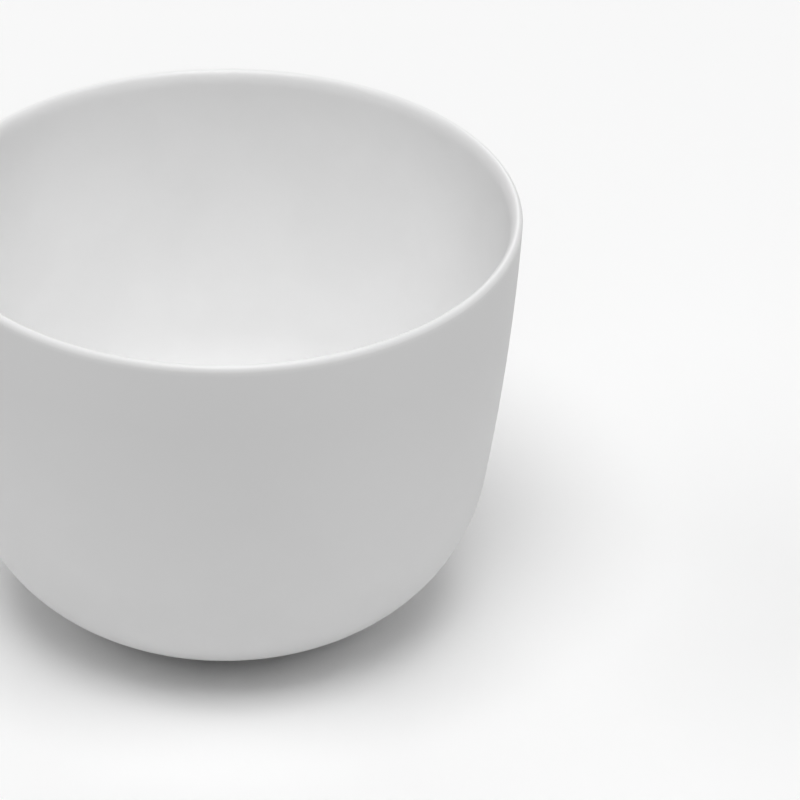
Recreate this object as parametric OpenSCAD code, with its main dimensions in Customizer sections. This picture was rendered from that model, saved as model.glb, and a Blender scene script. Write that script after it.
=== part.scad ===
// Latte bowl: a handleless porcelain bowl with a thin rim, on a low foot ring.
// Millimetres. The origin is the centre of the foot, on the table, and +Z is up.

/* [Bowl] */
// Outer diameter at the rim
rim_d = 106; // [98:1:114]
// Height from the table to the top of the rim
bowl_h = 80; // [72:1:90]
// Lean of the outer wall from upright, just below the rim, in degrees
wall_lean = 3.3; // [1.5:0.1:5]
// Radius of the wall's slight bow from top to bottom
wall_bow_r = 457; // [350:1:800]
// Radius of the curve that turns the wall into the underside
base_curve_r = 31.5; // [26:0.5:36]

/* [Thickness] */
// Thickness of the rim, glaze included
rim_t = 2.3; // [2:0.1:3.2]
// Width over which the outside of the rim is rounded, out from its crown
rim_outer_round_w = 0.8; // [0.7:0.05:1.2]
// Height over which the outside of the rim is rounded
rim_outer_round_h = 1.1; // [0.9:0.05:1.5]
// Height over which the inside of the rim is rounded
rim_inner_round_h = 3.2; // [2:0.1:4]
// Thickness of the wall at its lower end, glaze included
wall_t = 3.1; // [2.4:0.1:4.2]
// Least thickness of the floor, glaze included
floor_t = 3.9; // [3:0.1:6]
// Thickness of each coat of glaze
glaze_t = 0.3; // [0.15:0.05:0.4]

/* [Foot] */
// Outer diameter of the foot ring, glaze included
foot_d = 44; // [38:1:54]
// Width of the foot ring, glaze included
foot_w = 3.2; // [2.4:0.1:6]
// Height from the table to the lowest level of the underside's curve
foot_h = 1.5; // [1.2:0.1:4]
// Depth of the recess inside the foot ring
recess_h = 1.8; // [1.6:0.1:4]
// Rounding between the foot ring's outer side and the underside
foot_fillet_r = 0.6; // [0.3:0.05:0.7]
// Rounding between the foot ring's inner side and the roof of the recess
recess_fillet_r = 0.7; // [0.3:0.1:0.8]
// Rounding of the bare clay at both edges of the foot's face
foot_edge_r = 0.35; // [0.2:0.05:0.45]
// Height above the table at which the glaze on the foot ring ends
glaze_line_h = 0.5; // [0.45:0.05:0.55]

/* [Hidden] */

// Straight steps in each long arc of the outline, and in each small rounding
long_steps = 20;
small_steps = 6;
// Points closer together than this share of the glaze are one point
same_point_share = 0.001;
// Least radius at the crown of the rim, as a share of the glaze's thickness
crown_share = 1.25;
$fn = 180;

// Rim: two quarters of ellipses that meet at the crown. Neither is so tall that the
// clay's own crown, under the glaze, would come to a point.
rim_crown_x = rim_d / 2 - rim_outer_round_w;
outer_round = rim_quarter(rim_outer_round_w, rim_outer_round_h);
inner_round = rim_quarter(rim_t - rim_outer_round_w, rim_inner_round_h);

// Outer wall: an arc that runs out of the rim and down into the base curve
wall_c = rim_point(outer_round, -wall_lean, 0) - wall_bow_r * [cos(wall_lean), -sin(wall_lean)];
base_c = seated_arc(wall_c, wall_bow_r, base_curve_r, foot_h);
wall_end_a = angle_from(wall_c, base_c);
wall_end = wall_c + wall_bow_r * [cos(wall_end_a), sin(wall_end_a)];

// Inner wall: leans in a little more, so that the wall thickens towards the base
inner_run = norm(wall_end - [rim_crown_x, bowl_h - inner_round.y]);
inner_lean = wall_lean + asin((wall_t - rim_t) / inner_run);
inner_bow_r = wall_bow_r - rim_t;
inner_wall_c = rim_point(inner_round, 180 - inner_lean, 0)
    - inner_bow_r * [cos(inner_lean), -sin(inner_lean)];
inner_curve_r = base_curve_r - wall_t;
floor_z = max(foot_h, recess_h) + floor_t;
inner_base_c = seated_arc(inner_wall_c, inner_bow_r, inner_curve_r, floor_z);
inner_wall_end_a = angle_from(inner_wall_c, inner_base_c);

// Foot ring: both roundings end above the rounded edge of the glaze
glaze_end_h = glaze_line_h + glaze_t;
outer_fillet_r = min(foot_fillet_r, foot_h - glaze_end_h);
inner_fillet_r = min(recess_fillet_r, recess_h - glaze_end_h);

// The outer rounding touches the ring's side and the base curve, or the flat within it
foot_r = foot_d / 2;
outer_fillet_x = foot_r + outer_fillet_r;
fillet_reach = base_curve_r + outer_fillet_r;
fillet_run = max(0, outer_fillet_x - base_c.x);
outer_fillet_c = [outer_fillet_x, base_c.y - sqrt(fillet_reach ^ 2 - fillet_run ^ 2)];
base_start_a = angle_from([0, base_c.y], [fillet_run, outer_fillet_c.y]);
recess_r = foot_r - foot_w;
inner_fillet_c = [recess_r - inner_fillet_r, recess_h - inner_fillet_r];

// Centre of an arc of radius r that lies inside a larger arc, touches it, and
// has its lowest point at the height z
function seated_arc(large_c, large_r, r, z) =
    [large_c.x + sqrt((large_r - r) ^ 2 - (z + r - large_c.y) ^ 2), z + r];

// Direction of point q seen from point p, in degrees
function angle_from(p, q) = atan2(q.y - p.y, q.x - p.x);

// Points along an arc
function arc(centre, radius, from_a, to_a, steps) =
    [for (i = [0 : steps])
        let (a = from_a + (to_a - from_a) * i / steps)
        centre + radius * [cos(a), sin(a)]];

// Width and height of one side of the rim's rounding
function rim_quarter(width, height) = [width, min(height, width ^ 2 / (glaze_t * crown_share))];

// Point on one side of the rim that faces a direction, at a depth below the
// finished surface
function rim_point(quarter, facing, depth) =
    let (reach = norm([quarter.x * cos(facing), quarter.y * sin(facing)]))
    [rim_crown_x + cos(facing) * (quarter.x ^ 2 / reach - depth),
     bowl_h - quarter.y + sin(facing) * (quarter.y ^ 2 / reach - depth)];

// Points over one side of the rim, between two directions that it faces
function rim_path(quarter, from_a, to_a, depth) =
    [for (i = [0 : long_steps])
        rim_point(quarter, from_a + (to_a - from_a) * i / long_steps, depth)];

// A path without the points that only repeat the one before them
function single_points(path) =
    [for (i = [0 : len(path) - 1])
        if (i == 0 || norm(path[i] - path[max(0, i - 1)]) > glaze_t * same_point_share) path[i]];

function reversed(path) = [for (i = [len(path) - 1 : -1 : 0]) path[i]];

// Outside of the bowl, from the foot ring up to the crown of the rim. Depth is
// how far the path lies below the finished surface.
function outer_path(depth) = concat(
    arc(outer_fillet_c, outer_fillet_r + depth, 180, 180 + base_start_a, small_steps),
    arc(base_c, base_curve_r - depth, base_start_a, wall_end_a, long_steps),
    arc(wall_c, wall_bow_r - depth, wall_end_a, -wall_lean, long_steps),
    rim_path(outer_round, -wall_lean, 90, depth));

// Inside of the bowl, from the crown of the rim down to the middle of the floor
function inner_path(depth) = concat(
    rim_path(inner_round, 90, 180 - inner_lean, depth),
    arc(inner_wall_c, inner_bow_r + depth, -inner_lean, inner_wall_end_a, long_steps),
    arc(inner_base_c, inner_curve_r + depth, inner_wall_end_a, -90, long_steps),
    [[0, floor_z - depth]]);

// Recess in the foot, from its middle out to the glaze line on the ring
function recess_path(depth) = concat(
    [[0, recess_h + depth]],
    arc(inner_fillet_c, inner_fillet_r + depth, 90, 0, small_steps));

// Bare face of the foot ring, from its inner edge to its outer edge
function foot_face_path() = concat(
    arc([recess_r + glaze_t + foot_edge_r, foot_edge_r], foot_edge_r, 180, 270, small_steps),
    arc([foot_r - glaze_t - foot_edge_r, foot_edge_r], foot_edge_r, 270, 360, small_steps));

// Rounded lower edge of a coat of glaze that hangs on the clay at radius clay_r
function glaze_edge(clay_r, side) =
    [for (p = arc([0, glaze_end_h], glaze_t, -90, 0, small_steps))
        [clay_r + side * p.x, p.y]];

module turned(path) {
    rotate_extrude() polygon(single_points(path));
}

// Fired clay, bare only on the face of the foot ring
module porcelain_body() {
    color([0.93, 0.92, 0.9])
        turned(concat(
            foot_face_path(),
            outer_path(glaze_t),
            inner_path(glaze_t),
            recess_path(glaze_t)));
}

// Coat on the outside, from the glaze line on the foot ring to the crown of the rim
module outer_glaze() {
    color([0.96, 0.96, 0.95])
        turned(concat(
            glaze_edge(foot_r - glaze_t, 1),
            outer_path(0),
            reversed(outer_path(glaze_t))));
}

// Coat on the inside, from the crown of the rim to the middle of the floor
module inner_glaze() {
    color([0.97, 0.97, 0.96])
        turned(concat(inner_path(0), reversed(inner_path(glaze_t))));
}

// Coat in the recess inside the foot ring
module foot_recess_glaze() {
    color([0.95, 0.95, 0.94])
        turned(concat(
            recess_path(0),
            reversed(glaze_edge(recess_r + glaze_t, -1)),
            reversed(recess_path(glaze_t))));
}

porcelain_body();
outer_glaze();
inner_glaze();
foot_recess_glaze();
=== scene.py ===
import math

import bpy
from bpy.props import FloatProperty, FloatVectorProperty, IntProperty, PointerProperty
from bpy.types import Operator, Panel, PropertyGroup
from mathutils import Matrix, Vector


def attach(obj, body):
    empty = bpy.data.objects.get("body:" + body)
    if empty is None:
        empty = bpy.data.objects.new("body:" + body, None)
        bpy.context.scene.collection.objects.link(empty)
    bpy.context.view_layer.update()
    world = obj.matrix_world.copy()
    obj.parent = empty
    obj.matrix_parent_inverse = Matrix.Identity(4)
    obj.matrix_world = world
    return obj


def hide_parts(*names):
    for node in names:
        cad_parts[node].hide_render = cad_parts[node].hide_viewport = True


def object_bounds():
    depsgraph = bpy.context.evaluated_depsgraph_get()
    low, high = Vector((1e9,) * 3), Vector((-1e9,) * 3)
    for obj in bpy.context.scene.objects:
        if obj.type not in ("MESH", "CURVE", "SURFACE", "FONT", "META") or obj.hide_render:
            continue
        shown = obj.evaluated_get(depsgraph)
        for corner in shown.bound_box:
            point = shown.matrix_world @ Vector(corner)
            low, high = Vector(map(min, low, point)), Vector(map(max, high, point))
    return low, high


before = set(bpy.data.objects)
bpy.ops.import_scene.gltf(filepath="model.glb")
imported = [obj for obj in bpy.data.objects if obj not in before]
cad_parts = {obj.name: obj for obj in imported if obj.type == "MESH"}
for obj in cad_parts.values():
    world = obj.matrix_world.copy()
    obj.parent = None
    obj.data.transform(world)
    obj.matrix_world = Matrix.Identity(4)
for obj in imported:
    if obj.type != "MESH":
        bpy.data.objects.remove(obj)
CAD_LOW, CAD_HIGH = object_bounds()

bl_info = {
    "name": "Latte Bowl",
    "version": (1, 0, 0),
    "blender": (4, 5, 0),
    "location": "View3D > Sidebar > Latte Bowl",
    "description": "Makes a white porcelain latte bowl with its glaze, a plain studio and the camera",
    "category": "Add Mesh",
}

BODY = "root"
MM = 0.001
# Pixels across the photograph's square frame
FRAME_PIXELS = 800
# Points of an outline closer than this are one point, and one this near the axis lies on it
SAME_POINT = 1e-6
# Most of a noise texture's values lie between these
NOISE_LOW = 0.35
NOISE_HIGH = 0.65
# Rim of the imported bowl, as far out as its box allows on every side
RIM_D = 2 * min(CAD_HIGH.x, CAD_HIGH.y, -CAD_LOW.x, -CAD_LOW.y)


def length(name, description, default):
    """A size in metres."""
    return FloatProperty(
        name=name, description=description, default=default, min=0.0, precision=5, unit="LENGTH"
    )


def angle(name, description, degrees):
    """An angle, given here in degrees."""
    return FloatProperty(
        name=name, description=description, default=math.radians(degrees), subtype="ANGLE"
    )


def share(name, description, default):
    """A plain number between 0 and 1."""
    return FloatProperty(
        name=name, description=description, default=default, min=0.0, max=1.0, subtype="FACTOR"
    )


def strength(name, description, default):
    """Strength of a light."""
    return FloatProperty(name=name, description=description, default=default, min=0.0, precision=3)


def colour(name, description, default):
    """A colour in linear light."""
    return FloatVectorProperty(
        name=name, description=description, default=default, size=3, min=0.0, max=1.0, subtype="COLOR"
    )


class BowlSizes(PropertyGroup):
    rim_d: length("Rim diameter", "Outer diameter at the rim", RIM_D)
    height: length("Height", "Height from the table to the top of the rim", CAD_HIGH.z)
    wall_lean: angle("Wall lean", "Lean of the outer wall from upright, just below the rim", 3.3)
    wall_bow_r: length("Wall bow", "Radius of the wall's slight bow from top to bottom", 457 * MM)
    base_curve_r: length("Base curve", "Radius of the curve from wall to underside", 31.5 * MM)
    rim_t: length("Rim thickness", "Thickness of the rim with its glaze", 2.3 * MM)
    rim_outer_w: length("Rim, outside width", "Width of the rounding on the rim's outside", 0.8 * MM)
    rim_outer_h: length("Rim, outside height", "Height of the rounding on the rim's outside", 1.1 * MM)
    rim_inner_h: length("Rim, inside height", "Height of the rounding on the rim's inside", 3.2 * MM)
    wall_t: length("Wall thickness", "Thickness of the wall at its lower end", 3.1 * MM)
    floor_t: length("Floor thickness", "Least thickness of the floor", 3.9 * MM)
    glaze_t: length("Glaze thickness", "Thickness of each coat of glaze", 0.3 * MM)
    foot_d: length("Foot diameter", "Outer diameter of the foot ring", 44 * MM)
    foot_w: length("Foot width", "Width of the foot ring", 3.2 * MM)
    foot_h: length("Foot height", "Height of the underside's lowest level", 1.5 * MM)
    recess_h: length("Recess depth", "Depth of the recess inside the foot ring", 1.8 * MM)
    foot_fillet_r: length("Foot rounding", "Rounding from foot ring to underside", 0.6 * MM)
    recess_fillet_r: length("Recess rounding", "Rounding from foot ring to recess", 0.7 * MM)
    foot_edge_r: length("Foot edge", "Rounding of the foot's bare edges", 0.35 * MM)
    glaze_line_h: length("Glaze line", "Height at which the glaze on the foot ends", 0.5 * MM)
    around: IntProperty(name="Around", description="Faces around the bowl", default=192, min=32)
    long_steps: IntProperty(name="Long arcs", description="Faces along each long arc", default=20, min=4)
    small_steps: IntProperty(name="Small arcs", description="Faces along each rounding", default=6, min=2)


class BowlFinish(PropertyGroup):
    glaze_light: colour("Glaze, light", "Lighter tone of the white glaze", (0.92, 0.92, 0.92))
    glaze_dark: colour("Glaze, dark", "Darker tone of the white glaze", (0.90, 0.90, 0.90))
    # The outer glaze's colour is darker on the upper wall as painted shade, and lighter towards the foot and
    # along the rim as painted light; the tone and the four sizes after it place that painted tone.
    painted_shade_tone: colour("Glaze, wall", "Tone of the outer glaze where it lies thickest", (0.80, 0.80, 0.80))
    full_shade_h: length("Thick glaze, height", "Height above which the outer glaze is thickest", 66 * MM)
    painted_light_foot_h: length("Thin glaze, height", "Height below which the outer glaze is thin", 8 * MM)
    full_shade_drop: length("Thick glaze, below rim", "Drop from the rim to the top of the thickest glaze", 2 * MM)
    painted_light_rim_drop: length("Thin glaze, below rim", "Drop from the rim to where the glaze is thin", 0.4 * MM)
    glaze_smooth: share("Glaze, smooth", "Roughness of the smoothest glaze", 0.34)
    glaze_rough: share("Glaze, rough", "Roughness of the dullest glaze", 0.42)
    clay_light: colour("Clay, light", "Lighter tone of the bare fired clay", (0.80, 0.79, 0.765))
    clay_dark: colour("Clay, dark", "Darker tone of the bare fired clay", (0.72, 0.705, 0.675))


class StudioSettings(PropertyGroup):
    overhead: strength("Overhead light", "Strength of the soft light overhead", 1.9)
    front: strength("Front light", "Strength of the soft light above the camera", 0.36)
    sides: strength("Side lights", "Strength of the soft light on each side", 0.51)
    rear: strength("Rear light", "Strength of the soft light behind", 0.57)
    spread: angle("Spread", "Angle over which each light is spread, which softens its shadow", 40)
    floor_w: length("Floor", "Width of the floor", 12.0)
    backdrop: colour("Backdrop", "Tone of the floor as it is seen", (0.97, 0.97, 0.97))
    bounce: colour("Bounce", "Tone of the light that the floor throws back", (0.80, 0.80, 0.80))
    room: share("Room", "Brightness of the room past the floor, which only the camera sees", 0.94)
    pitch: angle("Pitch", "Downward tilt of the camera", 31.728)
    roll: angle("Roll", "Roll of the camera about its own axis", 0.553)
    distance: length("Distance", "Distance from the camera to what it aims at", 1272 * MM)
    aim_x: length("Aim across", "Aim to the right of the bowl's axis", 31.5 * MM)
    aim_z: length("Aim height", "Aim above the table", 41.2 * MM)
    focal_pixels: FloatProperty(
        name="Focal length",
        description="Focal length in pixels of the photograph's frame",
        default=7064.0,
        subtype="PIXEL",
    )


def polar(degrees):
    """Unit vector in the (r, z) half plane."""
    a = math.radians(degrees)
    return Vector((math.cos(a), math.sin(a)))


def angle_from(p, q):
    """Direction of point q seen from point p, in degrees."""
    return math.degrees(math.atan2(q.y - p.y, q.x - p.x))


def seated_arc(large_c, large_r, r, z):
    """Centre of an arc that lies inside a larger one, touches it, and is lowest at height z."""
    drop = z + r - large_c.y
    return Vector((large_c.x + math.sqrt((large_r - r) ** 2 - drop**2), z + r))


def arc(centre, radius, start, end, steps, facing):
    """Points of an arc with their normals, away from its centre where facing is 1."""
    run = []
    for i in range(steps + 1):
        out = polar(start + (end - start) * i / steps)
        run.append((centre + radius * out, facing * out))
    return run


def line(p, q, normal):
    """A straight run between two points, with one normal."""
    n = Vector(normal)
    return [(Vector(p), n), (Vector(q), n)]


def back(run):
    """The same run in the other direction, facing the other way."""
    return [(point, -normal) for point, normal in reversed(run)]


class Profile:
    """The bowl's half section, worked out from its sizes."""

    def __init__(self, s):
        self.s = s
        # Rim: two quarters of ellipses that meet at the crown
        self.crown_x = s.rim_d / 2 - s.rim_outer_w
        self.outer_round = (s.rim_outer_w, s.rim_outer_h)
        self.inner_round = (s.rim_t - s.rim_outer_w, s.rim_inner_h)
        # Outer wall: an arc from the rim down into the base curve
        lean = math.degrees(s.wall_lean)
        self.lean = lean
        outer_end = self.rim_point(self.outer_round, -lean, 0)
        self.wall_c = outer_end - s.wall_bow_r * polar(-lean)
        self.base_c = seated_arc(self.wall_c, s.wall_bow_r, s.base_curve_r, s.foot_h)
        self.wall_end_a = angle_from(self.wall_c, self.base_c)
        wall_end = self.wall_c + s.wall_bow_r * polar(self.wall_end_a)
        # Inner wall and floor: they follow the outside, and the wall thickens downwards
        inner_run = wall_end - Vector((self.crown_x, s.height - s.rim_inner_h))
        thickening = (s.wall_t - s.rim_t) / inner_run.length
        self.inner_lean = lean + math.degrees(math.asin(thickening))
        self.inner_bow_r = s.wall_bow_r - s.rim_t
        inner_end = self.rim_point(self.inner_round, 180 - self.inner_lean, 0)
        self.inner_wall_c = inner_end - self.inner_bow_r * polar(-self.inner_lean)
        self.inner_curve_r = s.base_curve_r - s.wall_t
        self.floor_z = max(s.foot_h, s.recess_h) + s.floor_t
        self.inner_base_c = seated_arc(
            self.inner_wall_c, self.inner_bow_r, self.inner_curve_r, self.floor_z
        )
        self.inner_wall_end_a = angle_from(self.inner_wall_c, self.inner_base_c)
        # Foot ring, with a rounding on each side
        self.foot_r = s.foot_d / 2
        self.recess_r = self.foot_r - s.foot_w
        self.glaze_end_h = s.glaze_line_h + s.glaze_t
        self.outer_fillet_r = min(s.foot_fillet_r, s.foot_h - self.glaze_end_h)
        self.inner_fillet_r = min(s.recess_fillet_r, s.recess_h - self.glaze_end_h)
        fillet_x = self.foot_r + self.outer_fillet_r
        fillet_run = max(0.0, fillet_x - self.base_c.x)
        reach = s.base_curve_r + self.outer_fillet_r
        fillet_drop = math.sqrt(reach**2 - fillet_run**2)
        self.outer_fillet_c = Vector((fillet_x, self.base_c.y - fillet_drop))
        self.base_start_a = -math.degrees(math.atan2(fillet_drop, fillet_run))
        self.inner_fillet_c = Vector(
            (self.recess_r - self.inner_fillet_r, s.recess_h - self.inner_fillet_r)
        )

    def rim_point(self, quarter, facing, depth):
        """Point on one side of the rim that faces a direction, at a depth below the glaze."""
        width, height = quarter
        out = polar(facing)
        reach = math.hypot(width * out.x, height * out.y)
        across = out.x * (width**2 / reach - depth)
        up = out.y * (height**2 / reach - depth)
        return Vector((self.crown_x + across, self.s.height - height + up))

    def rim(self, quarter, start, end, depth):
        """Run over one side of the rim between two facing directions, with its normals."""
        steps = self.s.long_steps
        turns = [start + (end - start) * i / steps for i in range(steps + 1)]
        return [(self.rim_point(quarter, turn, depth), polar(turn)) for turn in turns]

    def outside(self, depth):
        """Runs from the foot ring up to the crown of the rim, at a depth below the glaze."""
        s = self.s
        fillet_r = self.outer_fillet_r + depth
        return [
            arc(self.outer_fillet_c, fillet_r, 180, 180 + self.base_start_a, s.small_steps, -1),
            arc(self.base_c, s.base_curve_r - depth, self.base_start_a, self.wall_end_a, s.long_steps, 1),
            arc(self.wall_c, s.wall_bow_r - depth, self.wall_end_a, -self.lean, s.long_steps, 1),
            self.rim(self.outer_round, -self.lean, 90, depth),
        ]

    def inside(self, depth):
        """Runs from the crown of the rim down to the middle of the floor."""
        s = self.s
        floor = self.floor_z - depth
        bow_r = self.inner_bow_r + depth
        curve_r = self.inner_curve_r + depth
        return [
            self.rim(self.inner_round, 90, 180 - self.inner_lean, depth),
            arc(self.inner_wall_c, bow_r, -self.inner_lean, self.inner_wall_end_a, s.long_steps, -1),
            arc(self.inner_base_c, curve_r, self.inner_wall_end_a, -90, s.long_steps, -1),
            line((self.inner_base_c.x, floor), (0, floor), (0, 1)),
        ]

    def recess(self, depth):
        """Runs from the middle of the recess out to the inner side of the foot ring."""
        roof = self.s.recess_h + depth
        return [
            line((0, roof), (self.inner_fillet_c.x, roof), (0, -1)),
            arc(self.inner_fillet_c, self.inner_fillet_r + depth, 90, 0, self.s.small_steps, -1),
        ]

    def clay(self):
        """Closed outline of the fired clay."""
        s = self.s
        inner_r = self.recess_r + s.glaze_t
        outer_r = self.foot_r - s.glaze_t
        edge = s.foot_edge_r
        return [
            line((inner_r, self.inner_fillet_c.y), (inner_r, edge), (-1, 0)),
            arc(Vector((inner_r + edge, edge)), edge, 180, 270, s.small_steps, 1),
            line((inner_r + edge, 0), (outer_r - edge, 0), (0, -1)),
            arc(Vector((outer_r - edge, edge)), edge, 270, 360, s.small_steps, 1),
            line((outer_r, edge), (outer_r, self.outer_fillet_c.y), (1, 0)),
            *self.outside(s.glaze_t),
            *self.inside(s.glaze_t),
            *self.recess(s.glaze_t),
        ]

    def outer_glaze(self):
        """Closed outline of the coat on the outside."""
        s = self.s
        clay_r = self.foot_r - s.glaze_t
        crown_x = self.crown_x
        return [
            arc(Vector((clay_r, self.glaze_end_h)), s.glaze_t, -90, 0, s.small_steps, 1),
            line((self.foot_r, self.glaze_end_h), (self.foot_r, self.outer_fillet_c.y), (1, 0)),
            *self.outside(0),
            line((crown_x, s.height), (crown_x, s.height - s.glaze_t), (-1, 0)),
            *[back(run) for run in reversed(self.outside(s.glaze_t))],
            line((clay_r, self.outer_fillet_c.y), (clay_r, s.glaze_line_h), (-1, 0)),
        ]

    def inner_glaze(self):
        """Closed outline of the coat on the inside."""
        s = self.s
        crown_x = self.crown_x
        return [
            line((crown_x, s.height - s.glaze_t), (crown_x, s.height), (1, 0)),
            *self.inside(0),
            *[back(run) for run in reversed(self.inside(s.glaze_t))],
        ]

    def recess_glaze(self):
        """Closed outline of the coat inside the foot ring."""
        s = self.s
        clay_r = self.recess_r + s.glaze_t
        return [
            *self.recess(0),
            line((self.recess_r, self.inner_fillet_c.y), (self.recess_r, self.glaze_end_h), (-1, 0)),
            arc(Vector((clay_r, self.glaze_end_h)), s.glaze_t, 180, 270, s.small_steps, 1),
            line((clay_r, s.glaze_line_h), (clay_r, self.inner_fillet_c.y), (1, 0)),
            *[back(run) for run in reversed(self.recess(s.glaze_t))],
        ]


def joined_rings(runs):
    """Distinct points of a closed outline, and the strips between them with their normals."""
    rings, strips = [], []
    for run in runs:
        last = None
        for point, normal in run:
            if rings and (point - rings[-1]).length < SAME_POINT:
                here = (len(rings) - 1, normal)
            elif rings and (point - rings[0]).length < SAME_POINT:
                here = (0, normal)
            else:
                rings.append(point)
                here = (len(rings) - 1, normal)
            if last is not None and last[0] != here[0]:
                strips.append((last, here))
            last = here
    return rings, strips


def lathe(name, runs, around):
    """Turns a closed outline about Z into one watertight mesh with exact corner normals."""
    rings, strips = joined_rings(runs)
    turns = [2 * math.pi * j / around for j in range(around)]
    spokes = [(math.cos(t), math.sin(t)) for t in turns]
    verts, first = [], []
    for point in rings:
        first.append(len(verts))
        if point.x < SAME_POINT:
            verts.append((0.0, 0.0, point.y))
        else:
            verts += [(point.x * c, point.x * s, point.y) for c, s in spokes]

    def corner(ring, j):
        return first[ring] + (0 if rings[ring].x < SAME_POINT else j % around)

    faces, normals = [], []
    for (a, normal_a), (b, normal_b) in strips:
        along = rings[b] - rings[a]
        if rings[a].x < SAME_POINT and rings[b].x < SAME_POINT:
            continue
        faces_out = -along.y * normal_a.x + along.x * normal_a.y > 0
        for j in range(around):
            corners = [(a, j, normal_a), (b, j, normal_b), (b, j + 1, normal_b), (a, j + 1, normal_a)]
            if not faces_out:
                corners.reverse()
            face = []
            for ring, turn, normal in corners:
                vertex = corner(ring, turn)
                if vertex in face:
                    continue
                face.append(vertex)
                c, s = spokes[turn % around]
                normals.append((normal.x * c, normal.x * s, normal.y))
            faces.append(face)
    mesh = bpy.data.meshes.new(name)
    mesh.from_pydata(verts, [], faces)
    mesh.shade_smooth()
    mesh.normals_split_custom_set(normals)
    piece = bpy.data.objects.new(name, mesh)
    bpy.context.scene.collection.objects.link(piece)
    return piece


def dress(piece, node, material):
    """Gives a piece its body, the node it stands for and its material."""
    piece.data.materials.append(material)
    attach(piece, BODY)
    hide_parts(node)


def new_node(tree, kind, **settings):
    """A shader node with its own settings."""
    made = tree.nodes.new(kind)
    for key, value in settings.items():
        setattr(made, key, value)
    return made


def fired_surface():
    """Node group: patches of tone and dullness, and the fine relief, of a fired surface."""
    name = "Fired Surface"
    if name in bpy.data.node_groups:
        return bpy.data.node_groups[name]
    tree = bpy.data.node_groups.new(name, "ShaderNodeTree")
    sockets = tree.interface
    for label, kind, default in (
        ("Light Tone", "NodeSocketColor", (0.8, 0.8, 0.8, 1.0)),
        ("Dark Tone", "NodeSocketColor", (0.7, 0.7, 0.7, 1.0)),
        ("Smooth", "NodeSocketFloat", 0.3),
        ("Rough", "NodeSocketFloat", 0.5),
        ("Patch Size", "NodeSocketFloat", 0.02),
        ("Relief Size", "NodeSocketFloat", 0.002),
    ):
        sockets.new_socket(label, in_out="INPUT", socket_type=kind).default_value = default
    for label, kind in (
        ("Colour", "NodeSocketColor"),
        ("Roughness", "NodeSocketFloat"),
        ("Relief", "NodeSocketFloat"),
    ):
        sockets.new_socket(label, in_out="OUTPUT", socket_type=kind)
    given = new_node(tree, "NodeGroupInput")
    made = new_node(tree, "NodeGroupOutput")
    place = new_node(tree, "ShaderNodeTexCoord")

    def noise(size_label, detail):
        scale = new_node(tree, "ShaderNodeMath", operation="DIVIDE")
        scale.inputs[0].default_value = 1.0
        tree.links.new(given.outputs[size_label], scale.inputs[1])
        texture = new_node(tree, "ShaderNodeTexNoise")
        texture.inputs["Detail"].default_value = detail
        tree.links.new(place.outputs["Object"], texture.inputs["Vector"])
        tree.links.new(scale.outputs[0], texture.inputs["Scale"])
        return texture

    patches = noise("Patch Size", detail=3.0)
    stretched = new_node(tree, "ShaderNodeMapRange", interpolation_type="SMOOTHSTEP")
    stretched.inputs["From Min"].default_value = NOISE_LOW
    stretched.inputs["From Max"].default_value = NOISE_HIGH
    tree.links.new(patches.outputs["Fac"], stretched.inputs["Value"])
    tone = new_node(tree, "ShaderNodeMix", data_type="RGBA")
    tree.links.new(stretched.outputs[0], tone.inputs["Factor"])
    tree.links.new(given.outputs["Light Tone"], tone.inputs["A"])
    tree.links.new(given.outputs["Dark Tone"], tone.inputs["B"])
    tree.links.new(tone.outputs["Result"], made.inputs["Colour"])
    dullness = new_node(tree, "ShaderNodeMapRange")
    tree.links.new(patches.outputs["Fac"], dullness.inputs["Value"])
    tree.links.new(given.outputs["Smooth"], dullness.inputs["To Min"])
    tree.links.new(given.outputs["Rough"], dullness.inputs["To Max"])
    tree.links.new(dullness.outputs[0], made.inputs["Roughness"])
    relief = noise("Relief Size", detail=2.0)
    tree.links.new(relief.outputs["Fac"], made.inputs["Relief"])
    return tree


def ceramic(name, light, dark, smooth, rough, patch_size, relief_size, relief_depth):
    """A fired ceramic material, whose Principled shader is left to the caller to finish."""
    material = bpy.data.materials.new(name)
    material.use_nodes = True
    tree = material.node_tree
    shader = tree.nodes["Principled BSDF"]
    surface = new_node(tree, "ShaderNodeGroup", node_tree=fired_surface())
    surface.inputs["Light Tone"].default_value = (*light, 1.0)
    surface.inputs["Dark Tone"].default_value = (*dark, 1.0)
    surface.inputs["Smooth"].default_value = smooth
    surface.inputs["Rough"].default_value = rough
    surface.inputs["Patch Size"].default_value = patch_size
    surface.inputs["Relief Size"].default_value = relief_size
    bump = new_node(tree, "ShaderNodeBump")
    bump.inputs["Distance"].default_value = relief_depth
    tree.links.new(surface.outputs["Colour"], shader.inputs["Base Color"])
    tree.links.new(surface.outputs["Roughness"], shader.inputs["Roughness"])
    tree.links.new(surface.outputs["Relief"], bump.inputs["Height"])
    tree.links.new(bump.outputs["Normal"], shader.inputs["Normal"])
    return material, shader


def glaze(name, finish):
    """Satin white glaze."""
    material, shader = ceramic(
        name,
        finish.glaze_light,
        finish.glaze_dark,
        finish.glaze_smooth,
        finish.glaze_rough,
        patch_size=18 * MM,
        relief_size=2.2 * MM,
        relief_depth=0.006 * MM,
    )
    shader.inputs["IOR"].default_value = 1.5
    return material


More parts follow.
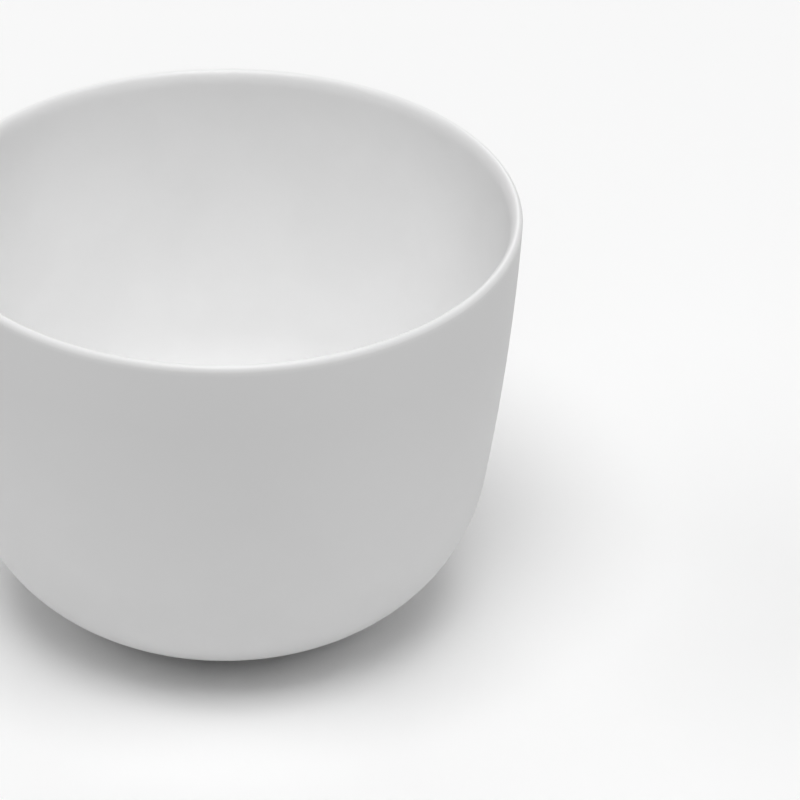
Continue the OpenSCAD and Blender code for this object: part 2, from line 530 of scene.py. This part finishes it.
def glaze_with_painted_shade(name, finish, rim_h):
    """Satin white glaze with painted shade and light: greyer on the upright wall as painted shade, lighter
    towards the foot and along the rim as painted light.
    """
    material = glaze(name, finish)
    tree = material.node_tree
    place = new_node(tree, "ShaderNodeTexCoord")
    split = new_node(tree, "ShaderNodeSeparateXYZ")
    tree.links.new(place.outputs["Object"], split.inputs["Vector"])
    painted_light_share = new_node(tree, "ShaderNodeMath", operation="MAXIMUM")
    # Painted tone: full painted shade on the wall between these heights, fading to painted light near the
    # foot and at the rim.
    shade_fades = (
        (finish.full_shade_h, finish.painted_light_foot_h),
        (rim_h - finish.full_shade_drop, rim_h - finish.painted_light_rim_drop),
    )
    for socket, (full_shade_at, painted_light_at) in zip(painted_light_share.inputs, shade_fades):
        fade = new_node(tree, "ShaderNodeMapRange")
        fade.inputs["From Min"].default_value = full_shade_at
        fade.inputs["From Max"].default_value = painted_light_at
        tree.links.new(split.outputs["Z"], fade.inputs["Value"])
        tree.links.new(fade.outputs[0], socket)
    tone = new_node(tree, "ShaderNodeMix", data_type="RGBA")
    tone.inputs["A"].default_value = (*finish.painted_shade_tone, 1.0)
    colour_in = tree.nodes["Principled BSDF"].inputs["Base Color"]
    tree.links.new(painted_light_share.outputs[0], tone.inputs["Factor"])
    tree.links.new(colour_in.links[0].from_socket, tone.inputs["B"])
    tree.links.new(tone.outputs["Result"], colour_in)
    return material


class BOWL_OT_clay(Operator):
    """Make the fired clay body, bare on the foot ring"""

    bl_idname = "latte_bowl.clay"
    bl_label = "Porcelain Body"
    bl_options = {"REGISTER", "UNDO"}

    def execute(self, context):
        sizes = context.scene.bowl_sizes
        finish = context.scene.bowl_finish
        piece = lathe("fired_clay_body", Profile(sizes).clay(), sizes.around)
        material, shader = ceramic(
            "bare_fired_clay",
            finish.clay_light,
            finish.clay_dark,
            smooth=0.72,
            rough=0.9,
            patch_size=1.6 * MM,
            relief_size=0.3 * MM,
            relief_depth=0.06 * MM,
        )
        shader.inputs["IOR"].default_value = 1.45
        dress(piece, "porcelain_body", material)
        return {"FINISHED"}


class BOWL_OT_glaze(Operator):
    """Make the three coats of glaze: outside, inside and foot recess"""

    bl_idname = "latte_bowl.glaze"
    bl_label = "Glaze Coats"
    bl_options = {"REGISTER", "UNDO"}

    def execute(self, context):
        sizes = context.scene.bowl_sizes
        finish = context.scene.bowl_finish
        profile = Profile(sizes)
        even = glaze("white_glaze", finish)
        shade_painted = glaze_with_painted_shade("white_glaze_painted_shade", finish, sizes.height)
        for name, node, outline, material in (
            # The outside coat carries painted shade on the wall and painted light at the foot and the rim.
            ("glaze_outside", "outer_glaze", profile.outer_glaze(), shade_painted),
            ("glaze_inside", "inner_glaze", profile.inner_glaze(), even),
            ("glaze_in_foot_recess", "foot_recess_glaze", profile.recess_glaze(), even),
        ):
            dress(lathe(name, outline, sizes.around), node, material)
        return {"FINISHED"}


class BOWL_OT_studio(Operator):
    """Make the plain pale floor, the soft lights and the camera"""

    bl_idname = "latte_bowl.studio"
    bl_label = "Studio"
    bl_options = {"REGISTER", "UNDO"}

    def execute(self, context):
        studio = context.scene.bowl_studio
        self.floor(studio)
        self.lights(context.scene, studio)
        self.camera(context.scene, studio)
        context.scene.view_settings.view_transform = "Standard"
        return {"FINISHED"}

    def floor(self, studio):
        half = studio.floor_w / 2
        mesh = bpy.data.meshes.new("studio_floor")
        corners = [(-half, -half, 0), (half, -half, 0), (half, half, 0), (-half, half, 0)]
        mesh.from_pydata(corners, [], [(0, 1, 2, 3)])
        material = bpy.data.materials.new("pale_floor")
        material.use_nodes = True
        tree = material.node_tree
        shader = tree.nodes["Principled BSDF"]
        shader.inputs["Roughness"].default_value = 1.0
        shader.inputs["Specular IOR Level"].default_value = 0.0
        seen = new_node(tree, "ShaderNodeLightPath")
        tone = new_node(tree, "ShaderNodeMix", data_type="RGBA")
        tone.inputs["A"].default_value = (*studio.bounce, 1.0)
        tone.inputs["B"].default_value = (*studio.backdrop, 1.0)
        tree.links.new(seen.outputs["Is Camera Ray"], tone.inputs["Factor"])
        tree.links.new(tone.outputs["Result"], shader.inputs["Base Color"])
        mesh.materials.append(material)
        floor = bpy.data.objects.new("studio_floor", mesh)
        bpy.context.scene.collection.objects.link(floor)

    def lights(self, scene, studio):
        world = bpy.data.worlds.new("studio_room")
        world.use_nodes = True
        tree = world.node_tree
        background = tree.nodes["Background"]
        background.inputs["Color"].default_value = (1.0, 1.0, 1.0, 1.0)
        seen = new_node(tree, "ShaderNodeLightPath")
        level = new_node(tree, "ShaderNodeMath", operation="MULTIPLY")
        level.inputs[1].default_value = studio.room
        tree.links.new(seen.outputs["Is Camera Ray"], level.inputs[0])
        tree.links.new(level.outputs[0], background.inputs["Strength"])
        scene.world = world
        # Each light's height above the floor and its turn about Z, in degrees
        for name, power, height, turn in (
            ("overhead_light", studio.overhead, 75, 270),
            ("front_light", studio.front, 45, 270),
            ("right_light", studio.sides, 36, 0),
            ("left_light", studio.sides, 36, 180),
            ("rear_light", studio.rear, 36, 90),
        ):
            data = bpy.data.lights.new(name, "SUN")
            data.energy = power
            data.angle = studio.spread
            lamp = bpy.data.objects.new(name, data)
            across, up = polar(height)
            towards = Vector((*(across * polar(turn)), up))
            lamp.rotation_euler = towards.to_track_quat("Z", "Y").to_euler()
            lamp.location = towards
            scene.collection.objects.link(lamp)

    def camera(self, scene, studio):
        data = bpy.data.cameras.new("photo_camera")
        data.lens = studio.focal_pixels * data.sensor_width / FRAME_PIXELS
        camera = bpy.data.objects.new("photo_camera", data)
        aim = Vector((studio.aim_x, 0.0, studio.aim_z))
        turn = Matrix.Rotation(math.pi / 2 - studio.pitch, 4, "X") @ Matrix.Rotation(studio.roll, 4, "Z")
        camera.matrix_world = Matrix.Translation(aim) @ turn @ Matrix.Translation((0, 0, studio.distance))
        scene.collection.objects.link(camera)
        scene.camera = camera


class BOWL_PT_panel(Panel):
    """Sidebar panel with the bowl's sizes, finish and studio"""

    bl_idname = "BOWL_PT_panel"
    bl_label = "Latte Bowl"
    bl_space_type = "VIEW_3D"
    bl_region_type = "UI"
    bl_category = "Latte Bowl"

    def draw(self, context):
        layout = self.layout
        for operator in OPERATORS:
            layout.operator(operator.bl_idname)
        for group in (context.scene.bowl_sizes, context.scene.bowl_finish, context.scene.bowl_studio):
            box = layout.box()
            for name in group.__annotations__:
                box.prop(group, name)


OPERATORS = (BOWL_OT_clay, BOWL_OT_glaze, BOWL_OT_studio)
CLASSES = (BowlSizes, BowlFinish, StudioSettings, *OPERATORS, BOWL_PT_panel)


def register():
    for cls in CLASSES:
        bpy.utils.register_class(cls)
    bpy.types.Scene.bowl_sizes = PointerProperty(type=BowlSizes)
    bpy.types.Scene.bowl_finish = PointerProperty(type=BowlFinish)
    bpy.types.Scene.bowl_studio = PointerProperty(type=StudioSettings)


def unregister():
    del bpy.types.Scene.bowl_studio
    del bpy.types.Scene.bowl_finish
    del bpy.types.Scene.bowl_sizes
    for cls in reversed(CLASSES):
        bpy.utils.unregister_class(cls)


def main():
    register()
    bpy.ops.latte_bowl.studio()
    bpy.ops.latte_bowl.clay()
    bpy.ops.latte_bowl.glaze()


if __name__ == "__main__":
    main()
